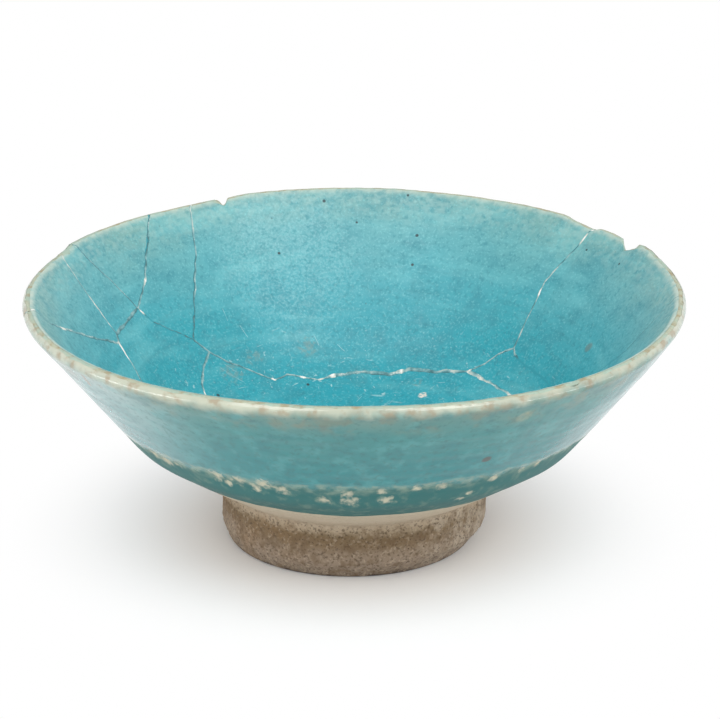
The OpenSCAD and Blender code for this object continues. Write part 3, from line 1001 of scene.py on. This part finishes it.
def scratched(f):
    """Fine pale scratches in several directions, thickest on the floor of the bowl."""
    fine = f.most_of(*[
        f.patches(0.66, 0.71, 1, 0.5, 2, 40 + i, (1, 12, 1), turn) for i, turn in enumerate(SCRATCH_TURNS)
    ])
    drawn = f.most_of(*[f.line(start, stop, inside, SCRATCH_W) for start, stop in SCRATCHES])
    where = f.times(f.span(f.height(), 46, 26), f.span(f.noise(6, 3, 6), 0.4, 0.6, 0.12, 0.55))
    return f.most_of(f.times(fine, where), f.times(drawn, 0.4))


def inner_glaze_finish():
    """Turquoise glaze, pale and thin at the lip and deep on the floor, mottled, specked and scratched."""
    f = Finish("glaze_inside")
    from_lip = f.attribute("from_lip")
    mottle = f.noise(0.55, 4, 2)
    grain = f.noise(0.32, 2, 4)
    f.ramp(f.plus(f.times(from_lip, 1 / 70), f.uneven(-0.06, 0.06, 9, 4, 1)), [
        (0.0, (112, 162, 158)), (0.07, (104, 162, 162)), (0.20, (88, 162, 168)), (0.40, (58, 158, 169)),
        (0.60, (24, 153, 166)), (1.0, (18, 152, 167)),
    ])
    # Mottling, blotches, lines from throwing and grain
    f.paint((38, 124, 136), f.span(mottle, 0.50, 0.68, 0, 0.46))
    f.paint((40, 132, 145), f.patches(0.46, 0.66, 0.44, 3.2, 6, 12))
    f.paint((116, 194, 198), f.patches(0.46, 0.70, 0.34, 1.8, 4, 3, (6, 6, 1)))
    f.paint((40, 124, 134), f.patches(0.54, 0.72, 0.26, 0.8, 4, 34, (12, 12, 1)))
    f.paint((132, 206, 208), f.span(grain, 0.52, 0.68, 0, 0.30))
    # Haze and thin glaze near the lip, a painted highlight of pale strokes on the back wall, and scratches
    f.paint((156, 190, 184), f.span(from_lip, 14, 1), f.patches(0.44, 0.62, 0.42, 0.9, 5, 5))
    f.paint((184, 198, 184), f.span(from_lip, 2.6, 0.4), f.span(f.noise(1.1, 4, 9), 0.3, 0.6, 0.3, 0.85))
    # Painted highlight: pale strokes on the back wall where the lamps' sheen falls
    f.paint((164, 214, 216), f.near(105, 74, inside, 28), f.patches(0.40, 0.64, 0.20, 0.4, 5, 41))
    f.paint((200, 226, 224), scratched(f))
    # Grey marks, a brown mark, a flake, pale dots and dark specks
    grey = f.most_of(*[f.near(a, r, inside, size) for a, r, size in GREY_MARKS])
    f.paint((112, 142, 138), grey, f.patches(0.42, 0.60, 1, 0.6, 4, 7), 0.55)
    f.paint((98, 108, 100), f.near(15, 67.5, inside, 2), 0.6)
    f.paint((226, 214, 200), f.near(63, 43, inside, 1.6), f.patches(0.4, 0.55, 1, 0.5, 3, 10))
    f.paint((186, 222, 218), f.dots(5, 0.28, 0.5, 4), 0.55)
    large = f.most_of(*[f.near(a, r, inside, size) for a, r, size in SPECKS])
    small = f.times(f.most_of(f.dots(3.2, 0.34, 0.5), f.dots(1.9, 0.2, 0.5, 5)), 0.5)
    f.paint((30, 66, 70), f.most_of(large, small))
    f.bump(f.plus(f.noise(1.2, 4, 8), f.times(grain, 0.5)), 0.3, 0.15)
    f.shader.inputs["IOR"].default_value = INNER_GLAZE_IOR
    return f.done(f.span(mottle, 0.3, 0.7, 0.42, 0.58))


def outer_glaze_finish():
    """Greyer turquoise glaze, thin and brownish under the lip, dark below the carination, rubbed along it."""
    f = Finish("glaze_outside")
    from_lip = f.attribute("from_lip")
    height = f.height()
    streak = f.noise(1.6, 5, 12, (2, 2, 1))
    f.ramp(f.plus(f.times(from_lip, 1 / 60), f.uneven(-0.06, 0.06, 11, 4, 11)), [
        (0.0, (108, 134, 124)), (0.10, (84, 128, 122)), (0.22, (54, 124, 123)), (0.50, (28, 119, 122)),
        (1.0, (16, 115, 119)),
    ])
    # Painted reflection, paler on the left and the right sides where the glaze turns away, then streaks and
    # blotches
    # Painted reflection of the bright surroundings on the left side, stronger higher up, and on the right side
    left = f.times(f.near(-158, 86, outside, 62), f.uneven(0.8, 1, 5, 4, 27), f.span(height, 44, 60, 0.5, 1))
    right = f.near(-4, 84, outside, 46)
    f.paint((196, 214, 214), f.plus(f.times(left, 0.36), f.times(right, 0.42)))
    f.paint((34, 100, 106), f.span(streak, 0.46, 0.68, 0, 0.40))
    f.paint((86, 158, 158), f.patches(0.48, 0.68, 0.32, 2.6, 5, 13))
    f.paint((40, 94, 94), f.patches(0.50, 0.68, 0.42, 0.8, 5, 18))
    # Dirt and thin glaze below the lip, the thin band wider at the front left and narrower at the back
    f.paint((112, 116, 98), f.span(from_lip, 15, 6), f.patches(0.48, 0.68, 0.55, 2.4, 5, 35))
    wider, narrower = f.near(-120, 88, outside, 40), f.near(90, 88, outside, 160)
    fade = f.plus(from_lip, f.uneven(-0.8, 0.8, 3, 4, 19), f.times(wider, -0.8), f.times(narrower, 1.4))
    f.paint((184, 186, 168), f.span(fade, 5.0, 0.6, 0, 0.9))
    f.paint((142, 120, 92), f.span(from_lip, 5, 2), f.patches(0.48, 0.66, 0.6, 1.8, 5, 36))
    # Darker below the carination, partly deeper pooled glaze and partly painted shade on the band that faces
    # down, then smeared, rubbed along the carination and worn through
    edge = f.plus(height, f.uneven(-0.7, 0.7, 2.2, 3, 14))
    below = f.span(edge, 41.0, 39.0)
    # Painted shade and deeper glaze on the downward-facing band, darkest towards the glaze's lower edge
    f.paint((22, 92, 90), below, 0.9)
    f.paint((8, 84, 83), f.span(height, 35, 30, 0, 0.7))
    f.paint((116, 138, 122), below, f.patches(0.50, 0.70, 0.4, 1.4, 5, 28, (1, 1, 2)))
    along_edge = f.times(f.span(edge, 37.0, 39.5), f.span(edge, 42.0, 40.5))
    f.paint((128, 148, 132), along_edge, f.span(f.noise(1.4, 5, 15), 0.38, 0.62, 0.05, 0.7))
    broken = f.uneven(-0.55, 0, 0.7, 5, 16, (1, 1, 2))
    worn_through = f.span(f.plus(f.attribute("wear"), broken), 0.02, 0.72)
    f.paint((198, 190, 166), worn_through, 0.8)
    # A dark spot, a darker greyish patch below the front-right chip, a cream patch, a brown stain and dots
    f.paint((70, 62, 56), f.near(-63, 74.7, outside, 1.7), 0.8)
    f.paint((92, 120, 106), f.near(-49, 88.6, outside, 3.2), f.patches(0.3, 0.6, 1, 0.9, 4, 37), 0.7)
    f.paint((196, 176, 128), f.near(-60, 86.5, outside, 3), f.patches(0.3, 0.8, 1, 1.5, 4, 38), 0.4)
    f.paint((140, 116, 92), f.line((-142, 89), (-143, 86), outside, 0.9), 0.7)
    f.paint((48, 80, 76), f.dots(6, 0.5, 0.5, 2), 0.4)
    f.bump(f.math("SUBTRACT", f.noise(1.8, 3, 17), worn_through), 0.25, 0.15)
    gloss = f.span(streak, 0.3, 0.7, 0.10, 0.20)
    return f.done(f.most_of(gloss, f.times(below, 0.6), f.times(worn_through, 0.85)))


def stonepaste_finish():
    """Sandy body: cream and stained at the lip, pale on the underside, brown and gritty on the foot."""
    f = Finish("stonepaste")
    height = f.height()
    # Darkest along the bottom edge of the foot: a painted contact shadow
    f.ramp(f.times(f.plus(height, f.uneven(-0.7, 0.7, 1.6, 5, 21)), 1 / 75), [
        (0.0, (62, 50, 42)), (0.012, (126, 112, 96)), (0.06, (138, 122, 105)), (0.105, (132, 115, 96)),
        (0.135, (118, 98, 73)), (0.165, (112, 92, 65)), (0.195, (160, 144, 121)), (0.26, (182, 167, 146)),
        (0.70, (172, 174, 152)), (1.0, (172, 178, 156)),
    ])
    # Golden on the left of the foot and paler on the right, with dark and pale sand, patches and dark dots
    foot = f.span(height, 18, 14.5)
    f.paint((128, 98, 62), foot, f.near(-150, 36.5, outside, 30), f.patches(0.42, 0.66, 0.4, 5, 4, 22))
    f.paint((176, 164, 146), foot, f.near(-25, 36.5, outside, 28), f.patches(0.35, 0.6, 0.6, 1.5, 4, 29))
    sand = f.noise(0.32, 3, 23)
    f.paint((72, 56, 40), f.span(height, 18, 14, 0.2, 1), f.span(sand, 0.50, 0.66, 0, 0.72))
    f.paint((184, 168, 146), f.span(height, 20, 14, 0.4, 1), f.patches(0.50, 0.70, 0.38, 0.45, 4, 24))
    f.paint((100, 80, 56), foot, f.patches(0.48, 0.66, 0.6, 1.4, 5, 39))
    f.paint((60, 46, 32), foot, f.dots(1.4, 0.26, 0.4, 3))
    # Tinted and stained on the lip
    lip = f.span(height, 62, 65)
    f.paint((150, 182, 172), lip, f.patches(0.40, 0.60, 0.6, 3, 4, 26))
    f.paint((150, 128, 92), lip, f.patches(0.50, 0.66, 0.6, 1.6, 4, 25))
    f.bump(f.plus(sand, f.noise(1.2, 3, 27)), 0.6, 0.3)
    return f.done(0.85)


def adhesive_finish():
    """Adhesive, from a grey film to white filler."""
    f = Finish("adhesive")
    tone = f.plus(f.attribute("white"), f.uneven(-0.15, 0.15, 0.9, 3, 31))
    f.ramp(tone, [
        (0.0, (44, 148, 160)), (0.20, (56, 104, 108)), (0.38, (106, 156, 160)), (0.58, (160, 184, 180)),
        (0.80, (208, 206, 194)), (1.0, (240, 238, 232)),
    ])
    f.paint((240, 238, 230), f.patches(0.58, 0.66, 1, 0.5, 2, 33), f.span(tone, 0.3, 0.5), 0.6)
    f.paint((176, 162, 142), f.attribute("on_body"))
    f.bump(f.noise(0.6, 3, 32), 0.3, 0.1)
    return f.done(0.5)


FINISHES = {
    "stonepaste": stonepaste_finish(),
    "glaze_inside": inner_glaze_finish(),
    "glaze_outside": outer_glaze_finish(),
    "adhesive": adhesive_finish(),
}

for sherd_name, lines in SHERDS.items():
    edge = polar(inset(outline(lines), GLUE_W / 2))
    bare(f"{sherd_name}_sherd", edge, "stonepaste")
    glazed(f"{sherd_name}_inner_glaze", inside, edge, "glaze_inside")
    glazed(f"{sherd_name}_outer_glaze", outside, edge, "glaze_outside")
for glue_name, lines in GLUES.items():
    bead(glue_name, lines, "adhesive")

# Stage, in metres: half the floor's width, and from where to where its shadow gives way to white
FLOOR_HALF = 4.0
SHADOW_FADES = (0.03, 0.10)


def paper_finish():
    """White paper that shows the bowl's shadow nearby and is plain white further off."""
    f = Finish("paper")
    f.colour = srgb(248, 248, 248)
    f.done(0.9)
    away = f.vector("DISTANCE", f.place, (0, 0, 0))["Value"]
    path = f.node("LightPath").outputs
    seen = f.most_of(path["Is Camera Ray"], path["Is Glossy Ray"], path["Is Transmission Ray"])
    share = f.times(seen, f.span(away, *SHADOW_FADES))
    blend = f.node("MixShader", {0: share, 1: f.shader.outputs[0], 2: f.node("Emission").outputs[0]})
    f.feed(f.tree.nodes["Material Output"].inputs["Surface"], blend.outputs[0])
    return f.material


def stage_floor():
    mesh = bpy.data.meshes.new("floor")
    corners = [(x * FLOOR_HALF, y * FLOOR_HALF, 0) for x, y in ((-1, -1), (1, -1), (1, 1), (-1, 1))]
    mesh.from_pydata(corners, [], [(0, 1, 2, 3)])
    floor = bpy.data.objects.new("floor", mesh)
    bpy.context.scene.collection.objects.link(floor)
    mesh.materials.append(paper_finish())


stage_floor()

# Camera, fitted to the photograph: lens and sensor in millimetres, aim and distance in metres
CAMERA_AIM = Vector((0, 0, 0.06875))
CAMERA_ELEVATION = math.radians(19.63)
CAMERA_DISTANCE = 1.0
SENSOR = 36
LENS = 183.9
SHIFT_X = 0.0079
SHIFT_Y = -0.0892


def camera():
    data = bpy.data.cameras.new("camera")
    data.sensor_width = SENSOR
    data.lens = LENS
    data.shift_x = SHIFT_X
    data.shift_y = SHIFT_Y
    eye = bpy.data.objects.new("camera", data)
    towards_eye = Vector((0, -math.cos(CAMERA_ELEVATION), math.sin(CAMERA_ELEVATION)))
    eye.location = CAMERA_AIM + CAMERA_DISTANCE * towards_eye
    eye.rotation_euler = (math.pi / 2 - CAMERA_ELEVATION, 0, 0)
    bpy.context.scene.collection.objects.link(eye)
    bpy.context.scene.camera = eye


camera()

# Soft lamps that aim at one point: place, width and height in metres, power in watts
LAMP_AIM = Vector((0, 0, 0.03))
LAMPS = {
    "front_left": ((-0.46, -0.68, 1.04), 0.5, 0.8, 5.3),
    "front_right": ((0.50, -0.66, 1.04), 0.5, 0.8, 6.4),
    "left": ((-0.8, -0.25, 0.034), 0.6, 0.06, 1.8),
    "right": ((0.8, -0.25, 0.034), 0.6, 0.06, 1.0),
}


def light(name, place, width, height, power):
    data = bpy.data.lights.new(name, "AREA")
    data.shape = "RECTANGLE"
    data.size = width
    data.size_y = height
    data.energy = power
    lamp = bpy.data.objects.new(name, data)
    lamp.location = place
    lamp.rotation_euler = (LAMP_AIM - Vector(place)).to_track_quat("-Z", "Y").to_euler()
    bpy.context.scene.collection.objects.link(lamp)


for lamp_name, settings in LAMPS.items():
    light(lamp_name, *settings)

# Light of the surroundings by how far up and how far right a direction points: from, to, and levels there
SKY_BY_HEIGHT = (0.3, 0.8, 1.14, 0.60)
SKY_BY_SIDE = (-0.9, 0.1, 0.78, 1)


def studio():
    """White surroundings, brighter towards the horizon and darker on the left, as in a photographer's tent."""
    world = bpy.data.worlds.new("studio")
    world.use_nodes = True
    sky = Nodes(world.node_tree)
    direction = sky.parts(sky.node("TexCoord").outputs["Generated"])
    level = sky.span(direction["Z"], *SKY_BY_HEIGHT, "LINEAR")
    side = sky.span(direction["X"], *SKY_BY_SIDE, "LINEAR")
    background = sky.tree.nodes["Background"].inputs
    sky.feed(background["Strength"], sky.times(level, side))
    sky.feed(background["Color"], (1, 1, 1))
    return world


bpy.context.scene.world = studio()
bpy.context.scene.view_settings.view_transform = "Standard"
